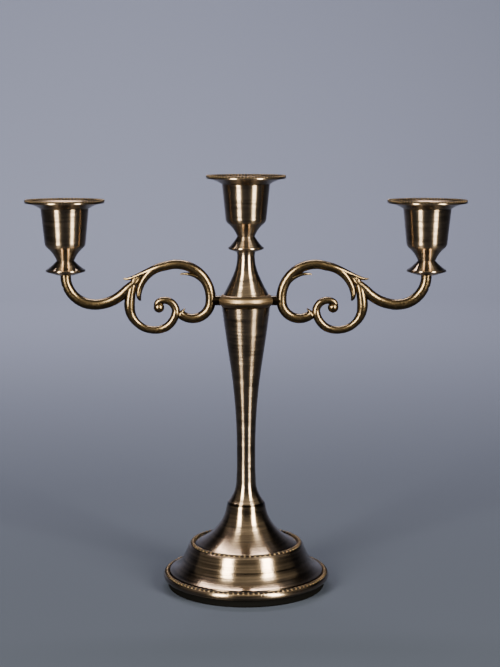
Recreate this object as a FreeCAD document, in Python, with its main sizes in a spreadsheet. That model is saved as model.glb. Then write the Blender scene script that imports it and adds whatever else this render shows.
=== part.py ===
"""Three-light tabletop candelabra: a turned column on a two-tier base with two cast scroll arms.

Frame: +Z up, millimetres, origin at the centre of the base's underside. The arms lie along X.
The base, stem, ring and cone are clamped together on one tie rod. The ring carries both arms, and
each cup has a drip pan with a candle nozzle that drops into it.
"""
import FreeCAD
import Part
import math
import os
import re

import Sketcher

Vector = FreeCAD.Vector

SIZES = {
    # foot pad and the weight that closes the base from below
    "pad_radius": 51.5,
    "pad_thickness": 5.0,
    "pad_edge_round": 0.8,
    "weight_flange": 3.2,
    "weight_slug_radius": 30.0,
    "weight_slug_height": 10.0,
    "weight_pocket_radius": 9.0,
    "weight_pocket_depth": 7.0,
    # base shell
    "rim_radius": 54.6,
    "rim_height": 4.3,
    "rim_edge_inset": 1.8,
    "rim_lip_inset": 0.9,
    "rim_seat_width": 5.6,
    "shell_wall": 2.0,
    "shell_height": 50.6,
    "foot_inset": 4.3,
    "foot_rise": 5.6,
    "drum_inset": 13.4,
    "drum_rise": 14.5,
    "drum_edge_inset": 16.6,
    "drum_edge_rise": 21.6,
    "drum_top_inset": 17.7,
    "drum_top_rise": 23.1,
    "trumpet_foot_inset": 20.9,
    "trumpet_foot_rise": 23.5,
    "trumpet_waist_radius": 18.2,
    "trumpet_waist_rise": 35.4,
    "trumpet_neck_radius": 12.7,
    "trumpet_neck_drop": 1.7,
    "trumpet_top_radius": 12.2,
    # beaded wires
    "base_bead_radius": 1.4,
    "lower_bead_inset": 2.5,
    "lower_bead_rise": 4.0,
    "upper_bead_inset": 19.4,
    "upper_bead_rise": 23.4,
    "pan_bead_radius": 0.8,
    "pan_bead_inset": 1.4,
    "pan_bead_wrap": 108.0,
    # stem, a hollow baluster
    "stem_height": 129.8,
    "stem_foot_radius": 11.9,
    "stem_foot_height": 1.2,
    "stem_foot_inset": 0.5,
    "stem_flare_radius": 6.4,
    "stem_flare_rise": 15.9,
    "stem_waist_radius": 6.05,
    "stem_waist_rise": 26.0,
    "stem_waist_length": 8.0,
    "stem_swell_radius": 10.75,
    "stem_swell_rise": 94.4,
    "stem_top_radius": 15.75,
    "stem_wall": 2.4,
    "stem_hollow_rise": 48.0,
    # tie rod, nut and washer
    "rod_radius": 3.0,
    "rod_clearance": 0.05,
    "rod_bore_clearance": 0.2,
    "rod_engagement": 12.8,
    "washer_radius": 7.5,
    "washer_thickness": 1.2,
    "nut_across_flats": 10.0,
    "nut_height": 5.0,
    # arm ring
    "ring_radius": 17.5,
    "ring_height": 7.8,
    "ring_edge_inset": 2.2,
    "ring_seat_width": 1.9,
    "peg_radius": 2.0,
    "peg_length": 4.0,
    "peg_clearance": 0.1,
    # upper cone
    "cone_height": 27.8,
    "cone_foot_radius": 14.75,
    "cone_middle_radius": 8.8,
    "cone_middle_rise": 11.8,
    "cone_waist_radius": 5.7,
    "cone_waist_rise": 24.8,
    "cone_top_radius": 6.1,
    # collars under the cups
    "centre_collar_radius": 11.6,
    "centre_collar_height": 9.9,
    "centre_collar_edge_rise": 2.4,
    "centre_collar_seat_radius": 6.6,
    "side_collar_radius": 12.9,
    "side_collar_height": 9.2,
    "side_collar_edge_rise": 2.8,
    "side_collar_seat_radius": 6.0,
    "collar_edge_round": 0.9,
    "neck_radius": 5.7,
    # cups
    "cup_height": 33.4,
    "cup_bell_inset": 2.2,
    "cup_bell_rise": 7.7,
    "cup_shoulder_rise": 10.9,
    "cup_flare": 2.3,
    "cup_wall": 1.3,
    "cup_floor_rise": 11.8,
    # drip pans with their candle nozzles
    "pan_overhang": 10.8,
    "pan_height": 4.65,
    "pan_thickness": 1.1,
    "pan_flare_width": 2.5,
    "pan_flare_rise": 1.5,
    "pan_dish_width": 5.9,
    "pan_dish_rise": 2.9,
    "pan_rim_height": 1.05,
    "candle_radius": 11.1,
    "nozzle_wall": 0.8,
    "nozzle_depth": 19.0,
    # cup screws
    "screw_radius": 2.5,
    "screw_clearance": 0.05,
    "screw_head_radius": 4.6,
    "screw_head_height": 2.4,
    "screw_head_chamfer": 0.8,
    "screw_engagement": 8.0,
    "screw_hole_spare": 1.0,
    # scroll arms
    "arm_reach": 116.5,
    "arm_tube": 6.9,
    "band_tube": 6.3,
    "curl_tube": 4.9,
    "curl_ball_radius": 3.5,
    "boss_radius": 3.2,
    "blade_depth": 5.2,
    "blade_tip": 0.7,
}

# Heights of the joints between the pieces, from the floor up, as formulas of the sizes.
PAD_TOP = "pad_thickness"
SHELL_TOP = f"({PAD_TOP} + shell_height)"
STEM_TOP = f"({SHELL_TOP} + stem_height)"
RING_MIDDLE = f"({STEM_TOP} + ring_height / 2)"
RING_TOP = f"({STEM_TOP} + ring_height)"
CONE_TOP = f"({RING_TOP} + cone_height)"
CENTRE_NECK = f"({CONE_TOP} + centre_collar_height)"
ROD_HOLE = "(rod_radius + rod_bore_clearance)"
SCREW_HOLE = "(screw_radius + screw_clearance)"

# Radii that follow the candle: its nozzle, the cup round the nozzle, and the pan over the cup.
NOZZLE = "(candle_radius + nozzle_wall)"
CUP_SHOULDER = f"({NOZZLE} + cup_wall)"
CUP_LIP = f"({CUP_SHOULDER} + cup_flare)"
PAN_EDGE = f"({CUP_LIP} + pan_overhang)"

document = FreeCAD.newDocument("Candelabra")
sheet = document.addObject("Spreadsheet::Sheet", "Sizes")
for row, (name, value) in enumerate(SIZES.items(), start=1):
    sheet.set(f"A{row}", name)
    sheet.set(f"B{row}", str(value))
    sheet.setAlias(f"B{row}", name)
document.recompute()


def formula(text):
    """A formula of the sizes with each name, but no function, led back to the sheet."""
    return re.sub(r"[A-Za-z_]+(?![A-Za-z_(])", lambda word: f"Sizes.{word.group()}", text)


def size(text):
    """The value of a formula of the sizes, in millimetres."""
    return float(sheet.evalExpression(formula(text)))


def arc_through(start, end, span):
    """The arc from start to end that turns by span degrees, to the left where span is positive."""
    chord = end - start
    sagitta = chord.Length / 2 * math.tan(math.radians(abs(span)) / 4)
    side = Vector(chord.y, -chord.x, 0).normalize() * math.copysign(sagitta, span)
    return Part.Arc(start, (start + end) / 2 + side, end)


def place_point(sketch, edge, point, radius, height):
    """Tie one end of a sketch edge to its radius and height, each a formula of the sizes."""
    for kind, axis, text in (("DistanceX", -2, radius), ("DistanceY", -1, height)):
        if text == "0":
            sketch.addConstraint(Sketcher.Constraint("PointOnObject", edge, point, axis))
            continue
        rule = Sketcher.Constraint(kind, -1, 1, edge, point, size(text))
        number = sketch.addConstraint(rule)
        sketch.setExpression(f"Constraints[{number}]", formula(text))


def add_outline(sketch, outline):
    """Draw a closed outline of (radius, height) or (radius, height, span of the arc before it)."""
    corners = [Vector(size(step[0]), size(step[1]), 0) for step in outline]
    for number, step in enumerate(outline):
        start, end = corners[number - 1], corners[number]
        if len(step) == 3:
            edge = arc_through(start, end, step[2])
        else:
            edge = Part.LineSegment(start, end)
        sketch.addGeometry(edge, False)
    for number, step in enumerate(outline):
        after = (number + 1) % len(outline)
        if len(step) == 3:
            span = math.radians(abs(step[2]))
            sketch.addConstraint(Sketcher.Constraint("Angle", number, span))
            end_point = 2 if step[2] > 0 else 1
        else:
            end_point = 2
        follows = outline[after]
        start_point = 2 if len(follows) == 3 and follows[2] < 0 else 1
        rule = Sketcher.Constraint("Coincident", number, end_point, after, start_point)
        sketch.addConstraint(rule)
        place_point(sketch, number, end_point, step[0], step[1])


def origin_part(body, role):
    """The axis or plane of a body's own origin that has the given role."""
    return next(part for part in body.Origin.OriginFeatures if part.Role == role)


def add_sketch(body, name, plane):
    """A sketch of a body, laid on one of its own origin planes."""
    sketch = body.newObject("Sketcher::SketchObject", name)
    sketch.AttachmentSupport = [(origin_part(body, plane), "")]
    sketch.MapMode = "FlatFace"
    return sketch


def turned(label, outline, offset=None):
    """A body turned about the vertical axis from an outline, at an offset of (x, z) formulas."""
    body = document.addObject("PartDesign::Body", label)
    sketch = add_sketch(body, f"{label}_outline", "XZ_Plane")
    add_outline(sketch, outline)
    revolution = body.newObject("PartDesign::Revolution", f"{label}_turning")
    revolution.Profile = sketch
    revolution.ReferenceAxis = (sketch, ["V_Axis"])
    revolution.Angle = 360
    if offset:
        body.setExpression("Placement.Base.x", formula(offset[0]))
        body.setExpression("Placement.Base.z", formula(offset[1]))
    return body


def make_foot_pad():
    """The pad that the candelabra stands on."""
    edge = "pad_radius - pad_edge_round"
    return turned("foot_pad", [
        ("0", "0"),
        (edge, "0"),
        ("pad_radius", "pad_edge_round", 90),
        ("pad_radius", PAD_TOP),
        ("0", PAD_TOP),
    ])


def make_base_weight():
    """A steel disc with a slug in its middle, and a pocket below for the nut and its washer."""
    flange_radius = "rim_radius - rim_seat_width - rod_clearance"
    pocket_top = f"{PAD_TOP} + weight_pocket_depth"
    return turned("base_weight", [
        ("weight_pocket_radius", PAD_TOP),
        (flange_radius, PAD_TOP),
        (flange_radius, f"{PAD_TOP} + weight_flange"),
        ("weight_slug_radius", f"{PAD_TOP} + weight_flange"),
        ("weight_slug_radius", f"{PAD_TOP} + weight_slug_height"),
        (ROD_HOLE, f"{PAD_TOP} + weight_slug_height"),
        (ROD_HOLE, pocket_top),
        ("weight_pocket_radius", pocket_top),
    ])


def bead_seat(circle, height, radius):
    """The outline's step across the half-round groove of a beaded wire, from its outer edge."""
    return [
        (f"{circle} + {radius}", height),
        (f"{circle} - {radius}", height, -180),
    ]


def make_base_shell():
    """The two-tier hollow base: rounded rim, concave drum and trumpet, with two bead grooves."""
    seat_radius = "rim_radius - rim_seat_width"
    ledge = f"{PAD_TOP} + weight_flange"
    lower_circle = "rim_radius - lower_bead_inset"
    upper_circle = "rim_radius - upper_bead_inset"
    groove = "base_bead_radius"
    foot = ("rim_radius - foot_inset - shell_wall", f"{ledge}")
    return turned("base_shell", [
        (seat_radius, PAD_TOP),
        ("rim_radius - rim_edge_inset", PAD_TOP),
        ("rim_radius - rim_lip_inset", f"{PAD_TOP} + rim_height", 120),
        *bead_seat(lower_circle, f"{PAD_TOP} + lower_bead_rise", groove),
        ("rim_radius - foot_inset", f"{PAD_TOP} + foot_rise"),
        ("rim_radius - drum_inset", f"{PAD_TOP} + drum_rise", -58),
        ("rim_radius - drum_edge_inset", f"{PAD_TOP} + drum_edge_rise", -10),
        ("rim_radius - drum_top_inset", f"{PAD_TOP} + drum_top_rise", 50),
        *bead_seat(upper_circle, f"{PAD_TOP} + upper_bead_rise", groove),
        ("rim_radius - trumpet_foot_inset", f"{PAD_TOP} + trumpet_foot_rise"),
        ("trumpet_waist_radius", f"{PAD_TOP} + trumpet_waist_rise", -33),
        ("trumpet_neck_radius", f"{SHELL_TOP} - trumpet_neck_drop", -32),
        ("trumpet_top_radius", SHELL_TOP),
        (ROD_HOLE, SHELL_TOP),
        (ROD_HOLE, f"{SHELL_TOP} - trumpet_neck_drop - shell_wall"),
        ("trumpet_neck_radius - shell_wall", f"{SHELL_TOP} - trumpet_neck_drop - shell_wall"),
        ("trumpet_waist_radius - shell_wall", f"{PAD_TOP} + trumpet_waist_rise - shell_wall", 32),
        ("rim_radius - trumpet_foot_inset - shell_wall", f"{PAD_TOP} + trumpet_foot_rise - shell_wall", 33),
        ("rim_radius - drum_edge_inset - shell_wall", f"{PAD_TOP} + drum_edge_rise - shell_wall"),
        ("rim_radius - drum_inset - shell_wall", f"{PAD_TOP} + drum_rise - shell_wall", 10),
        (f"{foot[0]}", f"{foot[1]}", 58),
        (seat_radius, ledge),
    ])


def make_beading(label, circle, height, radius, offset=None):
    """A ring of beaded wire: a round wire here, as wide as its beads."""
    return turned(label, [
        (f"{circle} - {radius}", height, 180),
        (f"{circle} + {radius}", height, 180),
    ], offset)


def make_stem():
    """The hollow baluster: a small bead at its foot, a narrow waist and a wide top under the ring."""
    waist_top = "stem_waist_rise + stem_waist_length"
    ring_seat = "ring_radius - ring_edge_inset - ring_seat_width"
    mouth = f"min(stem_top_radius - stem_wall; {ring_seat})"
    return turned("stem", [
        (ROD_HOLE, SHELL_TOP),
        ("stem_foot_radius", SHELL_TOP),
        ("stem_foot_radius - stem_foot_inset", f"{SHELL_TOP} + stem_foot_height", 60),
        ("stem_flare_radius", f"{SHELL_TOP} + stem_flare_rise", -42),
        ("stem_waist_radius", f"{SHELL_TOP} + stem_waist_rise", -4),
        ("stem_waist_radius", f"{SHELL_TOP} + {waist_top}"),
        ("stem_swell_radius", f"{SHELL_TOP} + stem_swell_rise", -9),
        ("stem_top_radius", STEM_TOP, 1.9),
        (mouth, STEM_TOP),
        ("stem_swell_radius - stem_wall", f"{SHELL_TOP} + stem_swell_rise", -1.9),
        (ROD_HOLE, f"{SHELL_TOP} + stem_hollow_rise", 9),
    ])


def make_tie_rod():
    """The threaded rod from the weight's pocket up into the cone."""
    bottom = f"{PAD_TOP} + weight_pocket_depth - washer_thickness - nut_height - rod_clearance"
    return turned("tie_rod", [
        ("0", bottom),
        ("rod_radius", bottom),
        ("rod_radius", f"{RING_TOP} + rod_engagement"),
        ("0", f"{RING_TOP} + rod_engagement"),
    ])


def make_washer():
    """The washer between the nut and the weight."""
    top = f"{PAD_TOP} + weight_pocket_depth"
    hole = "rod_radius + rod_clearance"
    return turned("tie_rod_washer", [
        (hole, f"{top} - washer_thickness"),
        ("washer_radius", f"{top} - washer_thickness"),
        ("washer_radius", top),
        (hole, top),
    ])


def make_nut():
    """The hexagon nut that tightens the tie rod."""
    body = document.addObject("PartDesign::Body", "tie_rod_nut")
    blank = body.newObject("PartDesign::AdditivePrism", "tie_rod_nut_blank")
    blank.Polygon = 6
    blank.setExpression("Circumradius", formula("nut_across_flats / 2 / cos(30)"))
    blank.setExpression("Height", formula("nut_height"))
    hole = body.newObject("PartDesign::SubtractiveCylinder", "tie_rod_nut_thread")
    hole.setExpression("Radius", formula("rod_radius + rod_clearance"))
    hole.setExpression("Height", formula("nut_height"))
    bottom = f"{PAD_TOP} + weight_pocket_depth - washer_thickness - nut_height"
    body.setExpression("Placement.Base.z", formula(bottom))
    return body


def make_arm_ring():
    """The ring between the stem and the cone: a half-round edge, a rod hole and two peg holes."""
    edge = "ring_radius - ring_edge_inset"
    body = turned("arm_ring", [
        ("rod_radius + rod_clearance", STEM_TOP),
        (edge, STEM_TOP),
        (edge, RING_TOP, 120),
        ("rod_radius + rod_clearance", RING_TOP),
    ])
    for side, turn in (("right", 0), ("left", 180)):
        hole = body.newObject("PartDesign::SubtractiveCylinder", f"arm_ring_{side}_peg_hole")
        hole.setExpression("Radius", formula("peg_radius + peg_clearance"))
        hole.setExpression("Height", formula("ring_radius"))
        hole.AttachmentSupport = [(origin_part(body, "YZ_Plane"), "")]
        hole.MapMode = "FlatFace"
        hole.AttachmentOffset = FreeCAD.Placement(Vector(), FreeCAD.Rotation(Vector(1, 0, 0), turn))
        hole.setExpression("AttachmentOffset.Base.y", formula(RING_MIDDLE))
        start = formula("ring_radius - peg_length - peg_clearance")
        sign = "" if side == "right" else "-1 * "
        hole.setExpression("AttachmentOffset.Base.z", f"{sign}({start})")
    return body


def make_cone():
    """The turned cone that screws onto the tie rod, with a thread from above for the cup screw."""
    hole_floor = f"{CONE_TOP} - screw_engagement - screw_hole_spare"
    rod_depth = f"{RING_TOP} + rod_engagement + rod_clearance"
    return turned("top_cone", [
        ("rod_radius + rod_clearance", RING_TOP),
        ("cone_foot_radius", RING_TOP),
        ("cone_middle_radius", f"{RING_TOP} + cone_middle_rise", -6),
        ("cone_waist_radius", f"{RING_TOP} + cone_waist_rise", -24),
        ("cone_top_radius", CONE_TOP, -20),
        (SCREW_HOLE, CONE_TOP),
        (SCREW_HOLE, hole_floor),
        ("0", hole_floor),
        ("0", rod_depth),
        ("rod_radius + rod_clearance", rod_depth),
    ])


def make_collar(label, kind, offset):
    """A turned collar: an undercut seat below, a rounded edge and a cone up to the cup's neck."""
    radius, height = f"{kind}_collar_radius", f"{kind}_collar_height"
    edge_rise = f"{kind}_collar_edge_rise"
    return turned(label, [
        (SCREW_HOLE, "0"),
        (f"{kind}_collar_seat_radius", "0"),
        (f"{radius} - collar_edge_round", f"{edge_rise} - collar_edge_round"),
        (f"{radius} - collar_edge_round", f"{edge_rise} + collar_edge_round", 180),
        ("neck_radius", height, -14),
        (SCREW_HOLE, height),
    ], offset)


def make_cup(label, offset):
    """A spun candle cup: a narrow neck, a bell, a rounded shoulder and slightly flared walls."""
    return turned(label, [
        (SCREW_HOLE, "0"),
        ("neck_radius", "0"),
        (f"{CUP_SHOULDER} - cup_bell_inset", "cup_bell_rise", -28),
        (CUP_SHOULDER, "cup_shoulder_rise", 45),
        (CUP_LIP, "cup_height"),
        (f"{CUP_LIP} - cup_wall", "cup_height"),
        (NOZZLE, "cup_floor_rise"),
        (SCREW_HOLE, "cup_floor_rise"),
    ], offset)


def make_cup_screw(label, kind, offset):
    """The screw through a cup's floor and its collar, with a chamfered head."""
    tip = f"-1 * ({kind}_collar_height + screw_engagement)"
    head_top = "cup_floor_rise + screw_head_height"
    return turned(label, [
        ("0", tip),
        ("screw_radius", tip),
        ("screw_radius", "cup_floor_rise"),
        ("screw_head_radius", "cup_floor_rise"),
        ("screw_head_radius", f"{head_top} - screw_head_chamfer"),
        ("screw_head_radius - screw_head_chamfer", head_top),
        ("0", head_top),
    ], offset)


def make_drip_pan(label, offset):
    """A dished pan with a plain rim, a bead groove and a candle nozzle that drops into the cup."""
    flare = f"{CUP_LIP} + pan_flare_width"
    dish = f"{CUP_LIP} + pan_dish_width"
    rim_bottom = "cup_height + pan_height - pan_rim_height"
    top = "cup_height + pan_height"
    circle = f"{PAN_EDGE} - pan_bead_inset"
    seat = "pan_bead_radius * sin(pan_bead_wrap / 2)"
    floor = "cup_height + pan_thickness - nozzle_depth"
    return turned(label, [
        ("candle_radius", floor),
        (NOZZLE, floor),
        (NOZZLE, "cup_height"),
        (CUP_LIP, "cup_height"),
        (flare, "cup_height + pan_flare_rise"),
        (dish, "cup_height + pan_dish_rise"),
        (f"{PAN_EDGE} - pan_bead_radius", rim_bottom),
        (f"{circle} + {seat}", top, 100),
        (f"{circle} - {seat}", top, -size("pan_bead_wrap")),
        (dish, "cup_height + pan_dish_rise + pan_thickness"),
        (flare, "cup_height + pan_flare_rise + pan_thickness"),
        ("candle_radius", "cup_height + pan_thickness"),
    ], offset)


# The scroll arm is drawn in units of one ninety-ninth of its length, with its origin on the ring's
# edge at the ring's middle height: x outwards and z up. Tube widths are in millimetres.
DRAWING_LENGTH = 99.0
DRAWING_END_RISE = 16.7
BAND_LOWER = ((17.2, 0.0), 11.75)
BAND_UPPER = ((27.5, 1.4), 22.1)
INNER_BLADE_CENTRE = (20.8, 2.2)
LOWER_BLADE = ((31.5, 0.9), 18.8)
SCROLL_CENTRE = (42.8, -4.5)
CURL = ((35.3, -7.3), 7.4)
CURL_BALL = (38.9, -4.5)
HOOK = ((24.9, -10.0), (24.4, -8.2), (23.2, -6.4), (21.9, -5.2))
SWEEP_DOWN = ((80.8, 25.3), 28.0)
SWEEP_UP = ((80.8, 15.6), 18.2)
UNIT = f"((arm_reach - ring_radius) / {DRAWING_LENGTH})"
ARM_TOP = f"({RING_MIDDLE} + {DRAWING_END_RISE} * {UNIT})"
SIDE_NECK = f"({ARM_TOP} + side_collar_height)"


def on_circle(centre, radius, degrees):
    """The point of the drawing at an angle on a circle."""
    angle = math.radians(degrees)
    return centre[0] + radius * math.cos(angle), centre[1] + radius * math.sin(angle)


def blend(values, count):
    """Count values that run evenly through a short list of values."""
    spread = []
    for number in range(count):
        place = number * (len(values) - 1) / (count - 1)
        step = min(int(place), len(values) - 2)
        share = place - step
        spread.append(values[step] * (1 - share) + values[step + 1] * share)
    return spread


def arc_stations(circle, start, end, widths, count):
    """Stations of (point, width) along an arc of the drawing, from a start to an end angle."""
    angles = blend([start, end], count)
    return [(on_circle(*circle, angle), width) for angle, width in zip(angles, blend(widths, count))]


def tapered_rod(stations, unit, depth=None):
    """A rod of oval section through stations of (point, width): round, or of one depth across."""
    points = [Vector(point[0] * unit, 0, point[1] * unit) for point, _ in stations]
    sections = []
    for number, (_, width) in enumerate(stations):
        before, after = points[max(number - 1, 0)], points[min(number + 1, len(points) - 1)]
        along = (after - before).normalize()
        across = Vector(0, 1, 0).cross(along)
        half, thick = width / 2, (min(depth, 2.2 * width) if depth else width) / 2
        centre = points[number]
        matrix = FreeCAD.Matrix(
            across.x * half, 0, along.x, centre.x,
            across.y * half, thick, along.y, centre.y,
            across.z * half, 0, along.z, centre.z,
            0, 0, 0, 1)
        circle = Part.Wire(Part.makeCircle(1))
        sections.append(circle.transformGeometry(matrix))
    return Part.makeLoft(sections, True, False)


def band_stations(tube):
    """The C scroll's band: from the hook round the bottom, the ring side and the top to a leaf."""
    lower = arc_stations(BAND_LOWER, -50, -178, [tube - 0.3, tube + 0.4], 12)
    upper = arc_stations(BAND_UPPER, 175, 72, [tube + 0.4, tube + 0.2, tube - 0.3], 11)
    leaf = [((37.1, 21.8), 5.9), ((40.2, 20.8), 5.7), ((43.3, 19.7), 5.1), ((46.5, 18.5), 4.3),
            ((49.8, 17.2), 3.5), ((53.0, 15.9), 2.9), ((56.2, 14.7), 2.4), ((59.2, 14.0), 1.7),
            ((61.8, 14.3), size("blade_tip"))]
    return lower + upper + leaf


def blade_stations(centre, edge_radii, angles, widths):
    """Stations of a blade whose inner edge keeps the given radii about a centre."""
    count = len(angles)
    edges = blend(edge_radii, count)
    return [(on_circle(centre, edge + width / 2, angle), width)
            for edge, width, angle in zip(edges, widths, angles)]


def scroll_arm():
    """The right arm in its own frame: C scroll, lower scroll with its ball, leaf tips, outer arm."""
    unit = size(UNIT)
    tube, curl, tip = size("arm_tube"), size("curl_tube"), size("blade_tip")
    depth = size("blade_depth")
    band = tapered_rod(band_stations(size("band_tube")), unit)
    inner_blade = tapered_rod(blade_stations(
        INNER_BLADE_CENTRE, [12.8, 12.8, 13.6, 15.0], [185, 166, 147, 131, 116, 101, 87, 74],
        [3.2, 3.4, 3.4, 3.2, 2.8, 2.3, 1.7, tip]), unit, depth)
    lower_blade = tapered_rod(blade_stations(
        LOWER_BLADE[0], [LOWER_BLADE[1], LOWER_BLADE[1]], [66, 54, 41, 28, 15, 5, -3],
        [5.4, 5.4, 4.9, 4.5, 4.1, 3.2, tip]), unit, depth)
    scroll = tapered_rod(
        [((53.7, 15.0), 2.6), ((54.9, 12.4), 4.2), ((55.9, 9.4), 5.4), ((56.9, 5.7), 6.3),
         ((57.7, 0.7), tube)]
        + blade_stations(SCROLL_CENTRE, [11.6, 12.0, 12.3, 12.8, 12.5], blend([-3, -168], 16),
                         blend([tube, curl + 0.2, curl - 0.1, curl + 0.6, curl + 0.6], 16))
        + arc_stations(CURL, 176, 62, [curl + 0.4, curl, curl - 0.5], 9)
        + [((40.2, -2.2), curl - 0.9), ((40.6, -3.9), curl - 1.5)], unit)
    hook = tapered_rod(list(zip(HOOK, [4.6, 3.4, 1.8, tip])), unit, depth)
    outer = tapered_rod(
        [((50.2, 15.6), 2.6), ((53.2, 13.0), 4.0), ((56.2, 10.2), 5.4), ((59.5, 7.1), tube - 0.5)]
        + arc_stations(SWEEP_DOWN, 228, 268, [tube, tube], 7)
        + arc_stations(SWEEP_UP, 274, 360, [tube, tube], 11)
        + [((DRAWING_LENGTH, DRAWING_END_RISE + 0.8), tube)], unit)
    ball_centre = Vector(CURL_BALL[0] * unit, 0, CURL_BALL[1] * unit)
    ball = Part.makeSphere(size("curl_ball_radius"), ball_centre, Vector(0, 1, 0))
    boss = Part.makeCylinder(size("boss_radius"), 5 * unit + 2, Vector(-2, 0, 0), Vector(1, 0, 0))
    arm = scroll
    for branch in (ball, outer, lower_blade, band, hook, inner_blade, boss):
        arm = arm.fuse(branch)
    return arm


def fitted_arm(ring):
    """The right arm in place: seated on the ring, with its peg and its threaded hole for a screw."""
    arm = scroll_arm()
    arm.translate(Vector(size("ring_radius"), 0, size(RING_MIDDLE)))
    seat = ring.Shape.copy()
    arm = arm.cut(seat)
    peg_start = size("ring_radius - peg_length")
    peg_base = Vector(peg_start, 0, size(RING_MIDDLE))
    peg_length = size("peg_length") + size("boss_radius")
    peg = Part.makeCylinder(size("peg_radius"), peg_length, peg_base, Vector(1, 0, 0))
    hole_depth = size("screw_engagement + screw_hole_spare")
    top = size(ARM_TOP)
    hole_base = Vector(size("arm_reach"), 0, top - hole_depth)
    hole = Part.makeCylinder(size(SCREW_HOLE), hole_depth + 1, hole_base)
    above = Part.makeBox(30, 30, 30, Vector(size("arm_reach") - 15, -15, top))
    return largest_solid(arm.fuse(peg).cut(hole).cut(above))


def largest_solid(shape):
    """The biggest solid of a shape: what is left of the boss inside the ring's holes is dropped."""
    return max(shape.Solids, key=lambda solid: solid.Volume)


def make_arm(label, shape):
    """A sub-part whose shape is set here, because its branches are lofted and joined."""
    arm = document.addObject("Part::Feature", label)
    arm.Shape = shape
    arm.Placement = FreeCAD.Placement()
    return arm


def make_side(side, sign, arm_shape):
    """One arm with the collar, cup, screw, drip pan and beading at its end."""
    shape = arm_shape if sign > 0 else arm_shape.mirror(Vector(), Vector(1, 0, 0))
    reach = f"{sign} * arm_reach"
    at_arm, at_neck = (reach, ARM_TOP), (reach, SIDE_NECK)
    return [
        make_arm(f"{side}_scroll_arm", shape),
        make_collar(f"{side}_collar", "side", at_arm),
        *make_light(side, "side", at_neck),
    ]


def make_light(side, kind, at_neck):
    """The cup of one light with its screw, its drip pan and the pan's beading."""
    bead_height = "cup_height + pan_height + pan_bead_radius * cos(pan_bead_wrap / 2)"
    circle = f"{PAN_EDGE} - pan_bead_inset"
    return [
        make_cup(f"{side}_cup", at_neck),
        make_cup_screw(f"{side}_cup_screw", kind, at_neck),
        make_drip_pan(f"{side}_drip_pan", at_neck),
        make_beading(f"{side}_pan_beading", circle, bead_height, "pan_bead_radius", at_neck),
    ]


def make_candelabra():
    """Every piece of the candelabra, from the floor up."""
    lower_circle, lower_height = "rim_radius - lower_bead_inset", f"{PAD_TOP} + lower_bead_rise"
    upper_circle, upper_height = "rim_radius - upper_bead_inset", f"{PAD_TOP} + upper_bead_rise"
    ring = make_arm_ring()
    pieces = [
        make_foot_pad(),
        make_base_weight(),
        make_base_shell(),
        make_beading("base_lower_beading", lower_circle, lower_height, "base_bead_radius"),
        make_beading("base_upper_beading", upper_circle, upper_height, "base_bead_radius"),
        make_tie_rod(),
        make_washer(),
        make_nut(),
        make_stem(),
        ring,
        make_cone(),
        make_collar("centre_collar", "centre", ("0", CONE_TOP)),
        *make_light("centre", "centre", ("0", CENTRE_NECK)),
    ]
    document.recompute()
    arm_shape = fitted_arm(ring)
    pieces += make_side("right", 1, arm_shape) + make_side("left", -1, arm_shape)
    document.recompute()
    return pieces


def check(pieces):
    """Stop before anything is written if an object failed or a piece's shape isn't one valid solid."""
    failed = [thing.Name for thing in document.Objects if {"Invalid", "Error"} & set(thing.State)]
    if failed:
        raise RuntimeError(f"failed objects: {failed}")
    for piece in pieces:
        shape = piece.Shape
        if shape.isNull() or not shape.isValid() or len(shape.Solids) != 1:
            raise RuntimeError(f"{piece.Label} isn't one valid solid")


def write(pieces):
    """Write each piece to its own STEP file."""
    os.makedirs("parts", exist_ok=True)
    for piece in pieces:
        piece.Shape.exportStep(os.path.join("parts", f"{piece.Label}.step"))


candelabra = make_candelabra()
check(candelabra)
write(candelabra)
for piece in candelabra:
    box = piece.Shape.BoundBox
    print(f"{piece.Label:22s} {piece.Shape.Volume / 1000:8.2f} cm3  z {box.ZMin:7.2f} to {box.ZMax:7.2f}")
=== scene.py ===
"""The looks of a three-light tabletop candelabra, in brushed and darkened brass plating.

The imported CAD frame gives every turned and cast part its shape. This file dresses those parts in their
finishes, lays rows of separate beads where the frame has plain rings, and sets the studio round the object.
Sizes are metres, in the frame's own axes: +Z up, the front towards -Y.
"""

import logging
import math
from dataclasses import dataclass, field
from enum import Enum
from typing import Any, Mapping, Optional, Sequence

import bmesh
import bpy
from mathutils import Matrix, Vector


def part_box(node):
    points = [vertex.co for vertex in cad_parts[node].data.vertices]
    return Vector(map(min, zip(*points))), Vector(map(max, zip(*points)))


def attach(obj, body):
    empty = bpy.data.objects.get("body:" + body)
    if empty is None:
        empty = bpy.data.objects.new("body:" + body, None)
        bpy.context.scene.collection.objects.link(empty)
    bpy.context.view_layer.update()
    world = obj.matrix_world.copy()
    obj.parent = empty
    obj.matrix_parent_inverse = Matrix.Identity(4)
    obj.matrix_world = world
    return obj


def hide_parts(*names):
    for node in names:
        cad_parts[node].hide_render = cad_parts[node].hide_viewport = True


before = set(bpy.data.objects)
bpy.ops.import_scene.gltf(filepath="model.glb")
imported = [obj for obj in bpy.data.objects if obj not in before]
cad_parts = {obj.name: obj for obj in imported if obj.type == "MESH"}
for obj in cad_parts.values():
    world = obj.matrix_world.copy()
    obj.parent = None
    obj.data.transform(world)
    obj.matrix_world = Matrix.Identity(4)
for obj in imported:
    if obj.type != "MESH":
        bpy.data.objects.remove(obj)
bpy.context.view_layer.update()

LOG = logging.getLogger("candelabra")
MM = 0.001
NOISE_LOW, NOISE_HIGH = 0.3, 0.7   # nearly all of a noise's values lie between these
QUARTER_TURN = 0.25                # of the grain's direction, as a share of a full turn


# ---------------------------------------------------------------- small helpers


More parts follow.
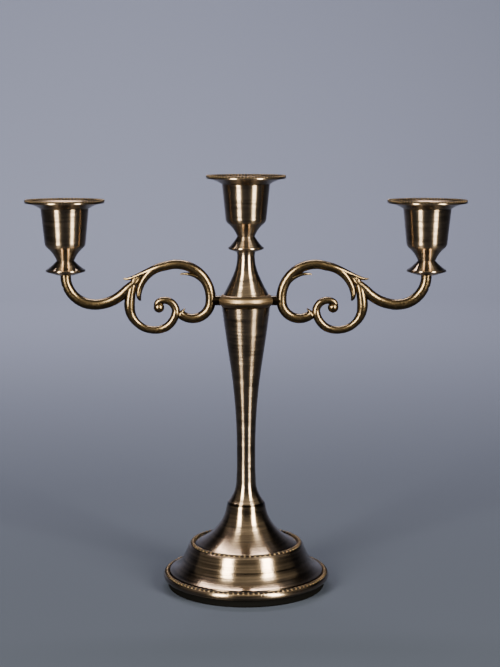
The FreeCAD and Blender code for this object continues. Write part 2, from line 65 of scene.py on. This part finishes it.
def linear(hex_colour: str) -> tuple[float, float, float, float]:
    """Turns an sRGB hex colour into linear light.

    Args:
        hex_colour: Six hex digits after a hash, such as "#9c7c4e".

    Returns:
        Red, green, blue and a full alpha.
    """
    parts = [int(hex_colour[i:i + 2], 16) / 255 for i in (1, 3, 5)]
    red, green, blue = [p / 12.92 if p <= 0.04045 else ((p + 0.055) / 1.055) ** 2.4 for p in parts]
    return red, green, blue, 1.0


def add_node(tree: bpy.types.NodeTree, kind: str, inputs: Optional[Mapping[Any, Any]] = None,
             **settings: Any) -> bpy.types.Node:
    """Adds one node, with its settings, and sets or links its inputs.

    Args:
        tree: The node tree that gets the node.
        kind: The node's type name.
        inputs: Values or output sockets, by input name or number.
        **settings: Properties of the node itself.

    Returns:
        The new node.
    """
    node = tree.nodes.new(kind)
    for name, value in settings.items():
        setattr(node, name, value)
    for key, value in (inputs or {}).items():
        if isinstance(value, bpy.types.NodeSocket):
            tree.links.new(value, node.inputs[key])
        else:
            node.inputs[key].default_value = value
    return node


def new_material(name: str) -> tuple[bpy.types.Material, bpy.types.NodeTree, bpy.types.Node]:
    """Makes an empty material with its output node.

    Args:
        name: The material's name.

    Returns:
        The material, its node tree and its output node.
    """
    material = bpy.data.materials.new(name)
    material.use_nodes = True
    tree = material.node_tree
    tree.nodes.clear()
    return material, tree, add_node(tree, "ShaderNodeOutputMaterial")


def dress(node_name: str, material: bpy.types.Material) -> None:
    """Puts a finish on every material slot of a CAD node.

    Args:
        node_name: The CAD node.
        material: The finish.
    """
    for material_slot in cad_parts[node_name].material_slots:
        material_slot.material = material


def mesh_piece(name: str, points: Sequence[Vector], faces: Sequence[Sequence[int]],
               material: bpy.types.Material) -> bpy.types.Object:
    """Makes a smooth-shaded piece from its points and faces.

    Args:
        name: The piece's name.
        points: The mesh's points.
        faces: The point numbers of each face.
        material: The finish.

    Returns:
        The new object, linked to the scene.
    """
    mesh = bpy.data.meshes.new(name)
    mesh.from_pydata(points, [], faces)
    mesh.materials.append(material)
    mesh.shade_smooth()
    piece = bpy.data.objects.new(name, mesh)
    bpy.context.scene.collection.objects.link(piece)
    return piece


# ---------------------------------------------------------------- finishes


class Grain(Enum):
    """How a brass surface was worked before it was plated."""

    TURNED = "turned"
    CAST = "cast"
    BEADED = "beaded"


@dataclass(frozen=True)
class AntiqueBrass:
    """Brass plating, blackened, then brushed back and lacquered.

    Blackening leaves a near-black brown in every scratch, and brushing bares a warm brass on the high
    ground, so the colour is a mix of the two. On a turned part the brush runs round the axis: its fine
    rings pull each light out into a long upright streak.
    """

    name: str
    grain: Grain
    centre: tuple[float, float] = (0.0, 0.0)
    patina_hex: str = "#2f2820"
    brass_hex: str = "#8b7a66"
    bare_share: float = 0.5
    contrast: float = 0.55
    roughness: float = 0.23
    roughness_swing: float = 0.04
    anisotropy: float = 0.92
    # Real scratches are about 0.1 mm apart, too fine to show, so they are drawn ten times as coarse.
    scratch_spacing: float = 1.0 * MM
    scratch_depth: float = 0.005 * MM
    scratch_wander: float = 0.8
    scratch_weight: float = 0.5
    # Where the brush leans harder it bares a band about as wide as a few of its wires.
    tone_spacing: float = 3.0 * MM
    tone_wander: float = 0.5
    tone_weight: float = 0.25
    # Blackening takes unevenly in patches about as wide as a fingertip.
    cloud_size: float = 14.0 * MM
    cloud_weight: float = 0.25
    spread_along: bool = False
    joint_from: float = 0.0
    joint_to: float = 0.0
    joint_black: float = -1.2
    seam_height: float = 0.0
    seam_width: float = 0.9 * MM
    seam_black: float = -1.2
    collar_height: float = 4.5 * MM
    collar_gain: float = 0.5
    # Grooves beside the bead rows, darkened partly by blackening and partly by painted shade.
    grooves: tuple[tuple[float, float, float], ...] = ()
    groove_core: float = 0.85
    groove_black_and_shade: float = -1.6

    def from_axis(self, tree: bpy.types.NodeTree) -> bpy.types.NodeSocket:
        """Measures each point from the part's own axis.

        Args:
            tree: The material's node tree.

        Returns:
            The place with the axis at x = y = 0.
        """
        place = add_node(tree, "ShaderNodeTexCoord").outputs["Object"]
        return add_node(tree, "ShaderNodeVectorMath", {0: place, 1: (*self.centre, 0.0)},
                        operation="SUBTRACT").outputs[0]

    @staticmethod
    def profile(tree: bpy.types.NodeTree,
                local: bpy.types.NodeSocket) -> tuple[bpy.types.NodeSocket, bpy.types.NodeSocket]:
        """Finds where each point lies on a turned part's outline.

        Args:
            tree: The material's node tree.
            local: The place, measured from the part's axis.

        Returns:
            Radius and height as a vector, and the direction from the axis.
        """
        split = add_node(tree, "ShaderNodeSeparateXYZ", {0: local})
        flat = add_node(tree, "ShaderNodeCombineXYZ", {0: split.outputs[0], 1: split.outputs[1]}).outputs[0]
        radius = add_node(tree, "ShaderNodeVectorMath", {0: flat}, operation="LENGTH").outputs["Value"]
        around = add_node(tree, "ShaderNodeVectorMath", {0: flat}, operation="NORMALIZE").outputs[0]
        outline = add_node(tree, "ShaderNodeCombineXYZ", {0: radius, 2: split.outputs[2]}).outputs[0]
        return outline, around

    def pattern(self, tree: bpy.types.NodeTree) -> tuple[bpy.types.NodeSocket, bpy.types.NodeSocket]:
        """Draws the scratches and the slow change of tone.

        Args:
            tree: The material's node tree.

        Returns:
            The height of the scratches and the share of bare brass, both about 0 to 1.
        """
        local = self.from_axis(tree)
        cloud = add_node(tree, "ShaderNodeTexNoise",
                         {"Vector": local, "Scale": 1 / self.cloud_size, "Detail": 3.0}).outputs[0]
        if self.grain is Grain.TURNED:
            outline, around = self.profile(tree, local)
            scratches = self.rings(tree, outline, around, self.scratch_spacing, self.scratch_wander)
            tone = self.rings(tree, outline, around, self.tone_spacing, self.tone_wander)
        else:
            scratches = add_node(tree, "ShaderNodeTexNoise",
                                 {"Vector": local, "Scale": 1 / self.scratch_spacing,
                                  "Detail": 4.0}).outputs[0]
            tone = add_node(tree, "ShaderNodeTexNoise",
                            {"Vector": local, "Scale": 1 / self.tone_spacing, "Detail": 2.0}).outputs[0]
        total: Any = 0.0
        for layer, weight in ((scratches, self.scratch_weight), (tone, self.tone_weight),
                              (cloud, self.cloud_weight)):
            total = add_node(tree, "ShaderNodeMath", {0: layer, 1: weight, 2: total},
                             operation="MULTIPLY_ADD").outputs[0]
        share = add_node(tree, "ShaderNodeMapRange",
                         {0: total, 1: NOISE_LOW, 2: NOISE_HIGH, 3: self.bare_share - self.contrast,
                          4: self.bare_share + self.contrast}).outputs[0]
        return scratches, share

    @staticmethod
    def rings(tree: bpy.types.NodeTree, outline: bpy.types.NodeSocket, around: bpy.types.NodeSocket,
              spacing: float, wander: float) -> bpy.types.NodeSocket:
        """Draws noise that is fine along the outline and long round the axis.

        Args:
            tree: The material's node tree.
            outline: Radius and height as a vector.
            around: The direction from the axis.
            spacing: The distance between rings.
            wander: How much a ring changes as it goes round.

        Returns:
            The noise, about 0 to 1.
        """
        fine = add_node(tree, "ShaderNodeVectorMath", {0: outline, "Scale": 1 / spacing},
                        operation="SCALE").outputs[0]
        vector = add_node(tree, "ShaderNodeVectorMath", {0: around, 1: (wander,) * 3, 2: fine},
                          operation="MULTIPLY_ADD").outputs[0]
        return add_node(tree, "ShaderNodeTexNoise",
                        {"Vector": vector, "Scale": 1.0, "Detail": 3.0, "Roughness": 0.6}).outputs[0]

    def blacken_joint(self, tree: bpy.types.NodeTree, share: bpy.types.NodeSocket) -> bpy.types.NodeSocket:
        """Leaves the soldered neck beside the ring black, since no brush reaches it.

        Args:
            tree: The material's node tree.
            share: The share of bare brass.

        Returns:
            The share with the neck taken out.
        """
        place = add_node(tree, "ShaderNodeTexCoord").outputs["Object"]
        across = add_node(tree, "ShaderNodeSeparateXYZ", {0: place}).outputs[0]
        outwards = add_node(tree, "ShaderNodeMath", {0: across}, operation="ABSOLUTE").outputs[0]
        dark = add_node(tree, "ShaderNodeMapRange",
                        {0: outwards, 1: self.joint_from, 2: self.joint_to, 3: self.joint_black,
                         4: 0.0}).outputs[0]
        return add_node(tree, "ShaderNodeMath", {0: share, 1: dark}, operation="ADD").outputs[0]

    def blacken_and_shade_grooves(self, tree: bpy.types.NodeTree, share: bpy.types.NodeSocket) -> bpy.types.NodeSocket:
        """Darkens the grooves beside the beads, each given by its radius, height and reach. The dark is partly
        blackening left in the groove and partly painted shade beside the beads.

        Args:
            tree: The material's node tree.
            share: The share of bare brass.

        Returns:
            The share with the grooves taken out.
        """
        outline, _ = self.profile(tree, self.from_axis(tree))
        for circle, level, reach in self.grooves:
            away = add_node(tree, "ShaderNodeVectorMath", {0: outline, 1: (circle, 0.0, level)},
                            operation="DISTANCE").outputs["Value"]
            # Painted shade with blackening: darker towards each groove's core beside the beads.
            dark = add_node(tree, "ShaderNodeMapRange",
                            {0: away, 1: self.groove_core * reach, 2: reach, 3: self.groove_black_and_shade,
                             4: 0.0}).outputs[0]
            share = add_node(tree, "ShaderNodeMath", {0: share, 1: dark}, operation="ADD").outputs[0]
        return share

    def blacken_seam(self, tree: bpy.types.NodeTree, share: bpy.types.NodeSocket) -> bpy.types.NodeSocket:
        """Leaves black in the seam under the stem's foot, and rubs the edge above it bright.

        Args:
            tree: The material's node tree.
            share: The share of bare brass.

        Returns:
            The share with the seam taken out and the edge added.
        """
        place = add_node(tree, "ShaderNodeTexCoord").outputs["Object"]
        level = add_node(tree, "ShaderNodeSeparateXYZ", {0: place}).outputs[2]
        above = add_node(tree, "ShaderNodeMath", {0: level, 1: self.seam_height},
                         operation="SUBTRACT").outputs[0]
        away = add_node(tree, "ShaderNodeMath", {0: above}, operation="ABSOLUTE").outputs[0]
        dark = add_node(tree, "ShaderNodeMapRange",
                        {0: away, 1: self.seam_width / 2, 2: self.seam_width, 3: self.seam_black,
                         4: 0.0}).outputs[0]
        rubbed = add_node(tree, "ShaderNodeMapRange",
                          {0: above, 1: self.seam_width, 2: self.collar_height, 3: self.collar_gain,
                           4: 0.0}).outputs[0]
        higher = add_node(tree, "ShaderNodeMath", {0: above, 1: 0.0}, operation="GREATER_THAN").outputs[0]
        change = add_node(tree, "ShaderNodeMath", {0: rubbed, 1: higher, 2: dark},
                          operation="MULTIPLY_ADD").outputs[0]
        return add_node(tree, "ShaderNodeMath", {0: share, 1: change}, operation="ADD").outputs[0]

    def material(self) -> bpy.types.Material:
        """Builds the finish.

        Returns:
            The material.
        """
        material, tree, output = new_material(self.name)
        scratches, share = self.pattern(tree)
        if self.joint_to:
            share = self.blacken_joint(tree, share)
        if self.seam_height:
            share = self.blacken_seam(tree, share)
        if self.grooves:
            share = self.blacken_and_shade_grooves(tree, share)
        colour = add_node(tree, "ShaderNodeMix",
                          {0: share, 6: linear(self.patina_hex), 7: linear(self.brass_hex)},
                          data_type="RGBA").outputs[2]
        rough = add_node(tree, "ShaderNodeMapRange",
                         {0: scratches, 1: NOISE_LOW, 2: NOISE_HIGH, 3: self.roughness - self.roughness_swing,
                          4: self.roughness + self.roughness_swing}).outputs[0]
        bump = add_node(tree, "ShaderNodeBump",
                        {"Strength": 1.0, "Distance": self.scratch_depth, "Height": scratches}).outputs[0]
        shader = add_node(tree, "ShaderNodeBsdfPrincipled",
                          {"Base Color": colour, "Metallic": 1.0, "Roughness": rough, "Normal": bump})
        if self.grain is not Grain.BEADED:
            shader.inputs["Anisotropic"].default_value = self.anisotropy
        if self.grain is Grain.TURNED:
            shader.inputs["Anisotropic Rotation"].default_value = 0.0 if self.spread_along else QUARTER_TURN
            tangent = add_node(tree, "ShaderNodeTangent", direction_type="RADIAL", axis="Z").outputs[0]
            tree.links.new(tangent, shader.inputs["Tangent"])
        tree.links.new(shader.outputs[0], output.inputs[0])
        return material


@dataclass(frozen=True)
class FootRubber:
    """Moulded black rubber: dull, and so dark that its mould's fine texture hardly shows. Its near-black is
    partly the rubber's own black and partly painted shade under the base's rim.
    """

    name: str = "foot_rubber_with_painted_shade"
    # Near-black: the rubber's own black, darkened further as painted shade under the rim.
    colour_hex: str = "#020202"
    grain_size: float = 0.8 * MM   # the mould's real grain is about 0.1 mm, too fine to show
    grain_depth: float = 0.03 * MM

    def material(self) -> bpy.types.Material:
        """Builds the finish.

        Returns:
            The material.
        """
        material, tree, output = new_material(self.name)
        place = add_node(tree, "ShaderNodeTexCoord").outputs["Object"]
        grain = add_node(tree, "ShaderNodeTexNoise",
                         {"Vector": place, "Scale": 1 / self.grain_size, "Detail": 2.0}).outputs[0]
        rough = add_node(tree, "ShaderNodeMapRange", {0: grain, 3: 0.8, 4: 1.0}).outputs[0]
        bump = add_node(tree, "ShaderNodeBump", {"Distance": self.grain_depth, "Height": grain}).outputs[0]
        shader = add_node(tree, "ShaderNodeBsdfPrincipled",
                          {"Base Color": linear(self.colour_hex), "Roughness": rough, "IOR": 1.52,
                           "Specular IOR Level": 0.02, "Normal": bump})
        tree.links.new(shader.outputs[0], output.inputs[0])
        return material


@dataclass(frozen=True)
class ZincSteel:
    """Zinc-plated steel of the hidden weight, rod, washer, nut and screws: a dull even grey."""

    name: str = "zinc_steel"
    colour_hex: str = "#b9bab8"
    spangle_size: float = 3.0 * MM

    def material(self) -> bpy.types.Material:
        """Builds the finish.

        Returns:
            The material.
        """
        material, tree, output = new_material(self.name)
        place = add_node(tree, "ShaderNodeTexCoord").outputs["Object"]
        spangle = add_node(tree, "ShaderNodeTexNoise",
                           {"Vector": place, "Scale": 1 / self.spangle_size, "Detail": 3.0}).outputs[0]
        rough = add_node(tree, "ShaderNodeMapRange", {0: spangle, 3: 0.3, 4: 0.5}).outputs[0]
        shader = add_node(tree, "ShaderNodeBsdfPrincipled",
                          {"Base Color": linear(self.colour_hex), "Metallic": 1.0, "Roughness": rough})
        tree.links.new(shader.outputs[0], output.inputs[0])
        return material


@dataclass(frozen=True)
class SweepPaper:
    """The studio's seamless paper: matt and cool grey, with no gloss. Its own lamp lifts its dark tone."""

    name: str = "sweep_paper"
    colour_hex: str = "#262a33"
    fibre_size: float = 2.0 * MM   # real fibres are far finer and would not show
    fibre_depth: float = 0.02 * MM

    def material(self) -> bpy.types.Material:
        """Builds the finish.

        Returns:
            The material.
        """
        material, tree, output = new_material(self.name)
        place = add_node(tree, "ShaderNodeTexCoord").outputs["Object"]
        fibre = add_node(tree, "ShaderNodeTexNoise",
                         {"Vector": place, "Scale": 1 / self.fibre_size, "Detail": 2.0}).outputs[0]
        bump = add_node(tree, "ShaderNodeBump", {"Distance": self.fibre_depth, "Height": fibre}).outputs[0]
        shader = add_node(tree, "ShaderNodeBsdfPrincipled",
                          {"Base Color": linear(self.colour_hex), "Roughness": 0.9, "Specular IOR Level": 0.0,
                           "Normal": bump})
        tree.links.new(shader.outputs[0], output.inputs[0])
        return material


# ---------------------------------------------------------------- pieces of the object


@dataclass
class BeadRow:
    """A ring of half-sunk beads, pressed from a beaded wire, in place of a plain ring of the frame."""

    node: str
    body: str
    pitch: float
    centre: tuple[float, float] = (0.0, 0.0)
    squeeze: float = 0.68        # a bead's width along the row, as a share of its height
    segments: int = 14
    rows: int = 9
    wire_share: float = 0.8      # the wire's thickness, as a share of a bead's
    wire_steps: int = 180
    wire_sides: int = 10
    groove_shift: float = 0.35   # how far the groove lies in and up from the row, in beads' radii
    groove_reach: float = 1.4    # how far the groove's blackening and painted shade reach, in beads' radii

    def measure(self) -> tuple[float, float, float]:
        """Measures the frame's plain ring.

        Returns:
            The row's circle radius, its height, and its beads' radius.
        """
        low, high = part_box(self.node)
        radius = (high.z - low.z) / 2
        return (high.x - low.x) / 2 - radius, (high.z + low.z) / 2, radius

    def groove(self) -> tuple[float, float, float]:
        """Places the darkened groove, blackening and painted shade, on the row's inner and upper side.

        Returns:
            The groove's circle radius, its height and its reach.
        """
        circle, level, radius = self.measure()
        shift = self.groove_shift * radius
        return circle - shift, level + shift, self.groove_reach * radius

    def bead(self, radius: float) -> tuple[list[Vector], list[list[int]]]:
        """Makes one bead.

        Args:
            radius: The bead's radius.

        Returns:
            The bead's points and its faces.
        """
        work = bmesh.new()
        bmesh.ops.create_uvsphere(work, u_segments=self.segments, v_segments=self.rows, radius=radius)
        points = [Vector((v.co.x, self.squeeze * v.co.y, v.co.z)) for v in work.verts]
        faces = [[v.index for v in face.verts] for face in work.faces]
        work.free()
        return points, faces

    def lay_wire(self, material: bpy.types.Material) -> None:
        """Lays the thin wire that joins the beads. Its near-black finish is partly blackening and partly
        painted shade between the beads.

        Args:
            material: The wire's finish.
        """
        circle, level, radius = self.measure()
        thickness = self.wire_share * radius
        steps, sides = self.wire_steps, self.wire_sides
        points = []
        for i in range(steps):
            turn = 2 * math.pi * i / steps
            for j in range(sides):
                roll = 2 * math.pi * j / sides
                out = circle + thickness * math.cos(roll)
                points.append(Vector((self.centre[0] + out * math.cos(turn),
                                      self.centre[1] + out * math.sin(turn),
                                      level + thickness * math.sin(roll))))
        faces = [[i * sides + j, i * sides + (j + 1) % sides, (i + 1) % steps * sides + (j + 1) % sides,
                  (i + 1) % steps * sides + j] for i in range(steps) for j in range(sides)]
        wire = mesh_piece(f"{self.node}_wire", points, [face[::-1] for face in faces], material)
        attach(wire, self.body)

    def build(self, material: bpy.types.Material, wire_material: bpy.types.Material) -> None:
        """Lays the beads on the ring's own circle and hides the ring.

        Args:
            material: The beads' finish.
            wire_material: The finish of the wire between them.
        """
        circle, level, radius = self.measure()
        count = round(2 * math.pi * circle / self.pitch)
        bead_points, bead_faces = self.bead(radius)
        points: list[Vector] = []
        faces: list[list[int]] = []
        for i in range(count):
            angle = 2 * math.pi * i / count
            spot = Vector((self.centre[0] + circle * math.cos(angle),
                           self.centre[1] + circle * math.sin(angle), level))
            turn = Matrix.Translation(spot) @ Matrix.Rotation(angle, 4, "Z")
            faces += [[corner + len(points) for corner in face] for face in bead_faces]
            points += [turn @ point for point in bead_points]
        row = mesh_piece(f"{self.node}_beads", points, faces, material)
        self.lay_wire(wire_material)
        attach(row, self.body)
        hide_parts(self.node)
        LOG.info("%s: %d beads of %.1f mm", row.name, count, 2 * radius / MM)


@dataclass
class Light:
    """One candle cup with its collar, screw and lift-out drip pan."""

    side: str
    bead_pitch: float = 2.1 * MM

    @property
    def centre(self) -> tuple[float, float]:
        """The cup's axis, as x and y."""
        low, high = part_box(f"{self.side}_cup")
        return (low.x + high.x) / 2, (low.y + high.y) / 2

    def dress(self, steel: bpy.types.Material, beads: bpy.types.Material, wire: bpy.types.Material) -> None:
        """Puts the finishes on, and lays the pan's beads.

        Args:
            steel: The hidden screw's finish.
            beads: The beads' finish.
            wire: The finish of the wire between them.
        """
        row = BeadRow(f"{self.side}_pan_beading", f"{self.side}_pan", self.bead_pitch, self.centre)
        brass = AntiqueBrass(f"{self.side}_turned_brass", Grain.TURNED, self.centre,
                             grooves=(row.groove(),)).material()
        for part in ("collar", "cup", "drip_pan"):
            dress(f"{self.side}_{part}", brass)
        dress(f"{self.side}_cup_screw", steel)
        row.build(beads, wire)
        LOG.info("%s light dressed", self.side)


@dataclass
class Base:
    """The stepped round base on its rubber pad, with the weight, rod, washer and nut inside."""

    lower_pitch: float = 3.2 * MM
    upper_pitch: float = 3.3 * MM

    def dress(self, steel: bpy.types.Material, beads: bpy.types.Material, wire: bpy.types.Material) -> None:
        """Puts the finishes on, and lays both rows of beads.

        Args:
            steel: The hidden fixings' finish.
            beads: The beads' finish.
            wire: The finish of the wire between them.
        """
        dress("foot_pad", FootRubber().material())
        for part in ("base_weight", "tie_rod", "tie_rod_washer", "tie_rod_nut"):
            dress(part, steel)
        rows = [BeadRow("base_lower_beading", "base", self.lower_pitch),
                BeadRow("base_upper_beading", "base", self.upper_pitch)]
        brass = AntiqueBrass("base_turned_brass", Grain.TURNED, seam_height=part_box("stem")[0].z,
                             grooves=tuple(row.groove() for row in rows))
        dress("base_shell", brass.material())
        for row in rows:
            row.build(beads, wire)
        LOG.info("base dressed")


@dataclass
class Column:
    """The stem, the ring that carries the arms, and the cone over it."""

    turned_parts: tuple[str, ...] = ("stem", "top_cone")

    def dress(self) -> None:
        """Puts the finishes on."""
        brass = AntiqueBrass("column_turned_brass", Grain.TURNED, seam_height=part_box("stem")[0].z).material()
        for part in self.turned_parts:
            dress(part, brass)
        # The ring is cast and only lightly rubbed, so its lights spread along it, not upright.
        ring = AntiqueBrass("ring_cast_brass", Grain.TURNED, brass_hex="#76634b", roughness=0.36,
                            anisotropy=0.6, scratch_depth=0.001 * MM, spread_along=True)
        dress("arm_ring", ring.material())
        LOG.info("column dressed")


@dataclass
class ScrollArms:
    """The two cast scroll arms."""

    sides: tuple[str, ...] = ("left", "right")
    black_neck: float = 1.75 * MM     # how far the joint stays quite black outside the ring
    brushed_from: float = 4.95 * MM   # where the brush reaches again, outside the ring

    def dress(self) -> None:
        """Puts the finishes on."""
        ring_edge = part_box("arm_ring")[1].y   # across the arms, where no peg cuts the ring
        brass = AntiqueBrass("cast_brass", Grain.CAST, patina_hex="#1b150e", brass_hex="#5d4f39",
                             contrast=0.35, anisotropy=0.0, roughness=0.24, scratch_depth=0.001 * MM,
                             joint_from=ring_edge + self.black_neck,
                             joint_to=ring_edge + self.brushed_from).material()
        for side in self.sides:
            dress(f"{side}_scroll_arm", brass)
        LOG.info("arms dressed")


# ---------------------------------------------------------------- the studio


@dataclass
class Softbox:
    """A cloth-fronted studio light, hung at an angle round a point that it looks at.

    Azimuth, elevation and spread are degrees. Azimuth 0 is in front of the object, and 90 is towards +X.
    """

    name: str
    azimuth: float
    elevation: float
    distance: float
    width: float
    height: float
    radiance: float
    target: tuple[float, float, float] = (0.0, 0.0, 0.15)
    colour_hex: str = "#fff6e0"
    spread: float = 180.0

    def build(self) -> None:
        """Hangs the light in the studio."""
        lamp = bpy.data.lights.new(self.name, "AREA")
        lamp.shape = "RECTANGLE"
        lamp.size, lamp.size_y = self.width, self.height
        lamp.color = linear(self.colour_hex)[:3]
        lamp.spread = math.radians(self.spread)
        lamp.energy = self.radiance * self.width * self.height * math.pi
        turn, lift = math.radians(self.azimuth), math.radians(self.elevation)
        towards = Vector((math.sin(turn) * math.cos(lift), -math.cos(turn) * math.cos(lift),
                          math.sin(lift)))
        hung = bpy.data.objects.new(self.name, lamp)
        hung.location = Vector(self.target) + towards * self.distance
        hung.rotation_mode = "QUATERNION"
        hung.rotation_quaternion = towards.to_track_quat("Z", "Y")
        hung.visible_camera = False
        bpy.context.scene.collection.objects.link(hung)


@dataclass
class Studio:
    """A sheet of seamless paper, its lights, and the camera in front."""

    panels: int = 96
    bend_start: float = 1.7
    bend_radius: float = 1.0
    bend_step: int = 6   # degrees between two rows of points in the bend
    top: float = 3.2
    dark_hex: str = "#3c4048"
    pale_hex: str = "#7d818c"
    shade_range: tuple[float, float] = (-0.9, 0.6)   # the Y of a direction, from the darkest to the palest
    focal_length: float = 82.3
    sensor_width: float = 36.0
    clip_range: tuple[float, float] = (0.05, 20.0)
    camera_place: tuple[float, float, float] = (2.58 * MM, -981.0 * MM, 303.5 * MM)
    camera_tilt: float = 82.12
    lights: list[Softbox] = field(default_factory=lambda: [
        Softbox("left_softbox", azimuth=-36.0, elevation=17.0, distance=1.5, width=0.40, height=1.12,
                radiance=125.0),
        Softbox("right_softbox", azimuth=42.0, elevation=17.0, distance=1.5, width=0.40, height=1.12,
                radiance=125.0),
        Softbox("top_softbox", azimuth=0.0, elevation=88.0, distance=1.6, width=1.2, height=1.2,
                radiance=0.7),
        Softbox("front_fill", azimuth=6.0, elevation=46.0, distance=1.8, width=3.2, height=1.1,
                radiance=1.35),
        Softbox("left_fill", azimuth=-80.0, elevation=22.0, distance=1.6, width=1.4, height=1.1,
                radiance=0.25),
        Softbox("right_fill", azimuth=80.0, elevation=34.0, distance=1.6, width=1.4, height=0.8,
                radiance=0.5),
        Softbox("backdrop_light", azimuth=4.0, elevation=60.0, distance=1.8, width=1.4, height=0.6,
                radiance=160.0, target=(-0.3, 2.0, 0.2), colour_hex="#fff0ea", spread=141.0),
    ])

    def paper(self) -> None:
        """Rolls the paper out over the table and up all round it."""
        bends = [math.radians(degrees) for degrees in range(0, 91, self.bend_step)]
        line = [(self.bend_start + self.bend_radius * math.sin(bend),
                 self.bend_radius * (1 - math.cos(bend))) for bend in bends]
        line.append((self.bend_start + self.bend_radius, self.top))
        turns = [2 * math.pi * i / self.panels for i in range(self.panels)]
        points = [Vector((out * math.cos(turn), out * math.sin(turn), level))
                  for out, level in line for turn in turns]
        faces = [[i * self.panels + j, (i + 1) * self.panels + j,
                  (i + 1) * self.panels + (j + 1) % self.panels, i * self.panels + (j + 1) % self.panels]
                 for i in range(len(line) - 1) for j in range(self.panels)]
        faces.insert(0, list(range(self.panels)))
        mesh_piece("seamless_paper", points, faces, SweepPaper().material())

    def room(self) -> None:
        """Fills the room above the paper with dim light, darker in front of the object than behind it."""
        world = bpy.data.worlds.new("studio_room")
        world.use_nodes = True
        tree = world.node_tree
        tree.nodes.clear()
        output = add_node(tree, "ShaderNodeOutputWorld")
        place = add_node(tree, "ShaderNodeTexCoord").outputs["Generated"]
        split = add_node(tree, "ShaderNodeSeparateXYZ", {0: place})
        back = add_node(tree, "ShaderNodeMapRange",
                        {0: split.outputs[1], 1: self.shade_range[0], 2: self.shade_range[1]}).outputs[0]
        colour = add_node(tree, "ShaderNodeMix",
                          {0: back, 6: linear(self.dark_hex), 7: linear(self.pale_hex)},
                          data_type="RGBA").outputs[2]
        background = add_node(tree, "ShaderNodeBackground", {0: colour, 1: 1.0})
        tree.links.new(background.outputs[0], output.inputs[0])
        bpy.context.scene.world = world

    def camera(self) -> None:
        """Sets the camera in front, a little above the cups."""
        lens = bpy.data.cameras.new("camera")
        lens.lens = self.focal_length
        lens.sensor_width = self.sensor_width
        lens.clip_start, lens.clip_end = self.clip_range
        stand = bpy.data.objects.new("camera", lens)
        stand.location = self.camera_place
        stand.rotation_euler = (math.radians(self.camera_tilt), 0.0, 0.0)
        bpy.context.scene.collection.objects.link(stand)
        bpy.context.scene.camera = stand

    def build(self) -> None:
        """Builds the whole studio."""
        self.camera()
        self.room()
        self.paper()
        for light in self.lights:
            light.build()
        LOG.info("studio ready")


def main() -> None:
    """Dresses the candelabra, piece by piece, and sets the studio round it."""
    logging.basicConfig(level=logging.INFO, format="%(name)s: %(message)s")
    Studio().build()
    steel = ZincSteel().material()
    beads = AntiqueBrass("beaded_brass", Grain.BEADED, patina_hex="#100c08", brass_hex="#5d4e39",
                         bare_share=0.6, contrast=0.4, roughness=0.3).material()
    # The wire's near-black is partly blackening and partly painted shade in the gaps between the beads.
    wire = AntiqueBrass("blackened_wire_and_painted_shade", Grain.BEADED, patina_hex="#080605", brass_hex="#0f0b08",
                        contrast=0.4, roughness=0.5).material()
    Base().dress(steel, beads, wire)
    Column().dress()
    ScrollArms().dress()
    for side in ("left", "centre", "right"):
        Light(side).dress(steel, beads, wire)


if __name__ == "__main__":
    main()
